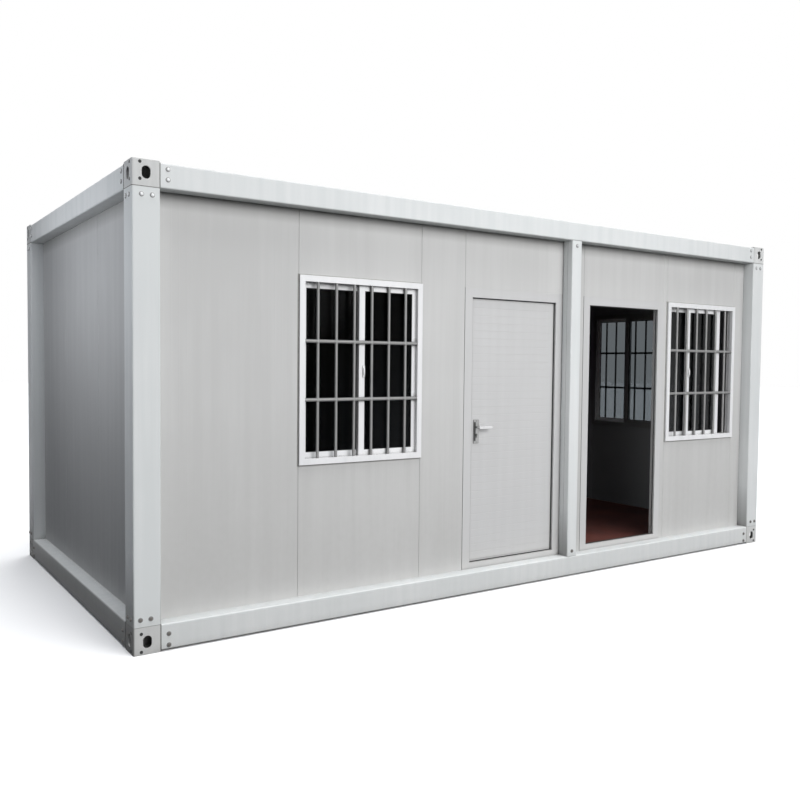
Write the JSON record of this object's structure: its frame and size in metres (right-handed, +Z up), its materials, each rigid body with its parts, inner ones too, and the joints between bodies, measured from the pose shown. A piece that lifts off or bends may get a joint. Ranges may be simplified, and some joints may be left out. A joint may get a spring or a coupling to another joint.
{
  "type": "flat pack container house",
  "caption": "Single-storey flat pack container house with a bolted steel frame, grey panel walls, barred sliding windows and hinged doors in the front.",
  "frame": {"origin": "centre of the footprint, on the ground", "axes": "+X along the front from left to right, +Y from the front to the back, +Z up"},
  "size_m": [5.95, 3, 2.8],
  "materials": {
    "frame_white": "satin white powder coat",
    "galvanised": "dull zinc",
    "floor_brown": "matt red-brown sheet on board",
    "roof_paint": "satin light grey",
    "ceiling_white": "satin white",
    "panel_grey": "satin light grey coil coat",
    "window_white": "white powder coat",
    "dark_glass": "clear, dark behind",
    "door_white": "satin white",
    "hinge_steel": "zinc plated",
    "handle_plate": "dark grey satin",
    "lever_steel": "brushed"
  },
  "bodies": {
    "house": {"bottom_beam_front": "frame_white", "bottom_beam_right": "frame_white", "bottom_beam_back": "frame_white", "bottom_beam_left": "frame_white", "top_beam_front": "frame_white", "top_beam_right": "frame_white", "top_beam_back": "frame_white", "top_beam_left": "frame_white", "corner_posts": "frame_white", "bottom_corner_fittings": "frame_white", "top_corner_fittings": "frame_white", "middle_post": "frame_white", "floor_joists": "galvanised", "roof_purlins": "galvanised", "floor_deck": "floor_brown", "roof_sheet": "roof_paint", "ceiling": "ceiling_white", "front_wall_panel": "panel_grey", "front_wall_strips": "panel_grey", "front_window_infills": "panel_grey", "door_header_panels": "panel_grey", "right_wall": "panel_grey", "back_wall": "panel_grey", "left_wall": "panel_grey", "left_window_frame": "window_white", "left_window_sashes": "window_white", "right_window_frame": "window_white", "right_window_sashes": "window_white", "end_window_frame": "window_white", "end_window_sashes": "window_white", "left_window_glass": "dark_glass", "right_window_glass": "dark_glass", "end_window_glass": "dark_glass", "left_door_frame": "door_white", "right_door_frame": "door_white", "left_door_hinge_pins": "hinge_steel", "right_door_hinge_pins": "hinge_steel"},
    "left_door": {"left_door_leaf": "door_white", "left_door_hinge_leaves": "hinge_steel", "left_door_handle_plates": "handle_plate"},
    "left_lever": {"left_door_lever": "lever_steel"},
    "right_door": {"right_door_leaf": "door_white", "right_door_hinge_leaves": "hinge_steel", "right_door_handle_plates": "handle_plate"},
    "right_lever": {"right_door_lever": "lever_steel"}
  },
  "joints": [
    {"name": "left_door_hinge", "type": "hinge", "parent": "house", "child": "left_door", "pos_m": [0.382, -1.332, 1.18], "axis": [0, 0, -1], "range_deg": [0, 95]},
    {"name": "left_lever_turn", "type": "hinge", "parent": "left_door", "child": "left_lever", "pos_m": [-0.409, -1.36, 1.21], "axis": [0, 1, 0], "range_deg": [0, 40], "stiffness_Nm_per_rad": 3, "springref_deg": -20.05},
    {"name": "right_door_hinge", "type": "hinge", "parent": "house", "child": "right_door", "pos_m": [0.738, -1.332, 1.18], "axis": [0, 0, 1], "range_deg": [-90, 5]},
    {"name": "right_lever_turn", "type": "hinge", "parent": "right_door", "child": "right_lever", "pos_m": [0.766, -0.541, 1.21], "axis": [1, 0, 0], "range_deg": [0, 40], "stiffness_Nm_per_rad": 3, "springref_deg": -20.05}
  ]
}
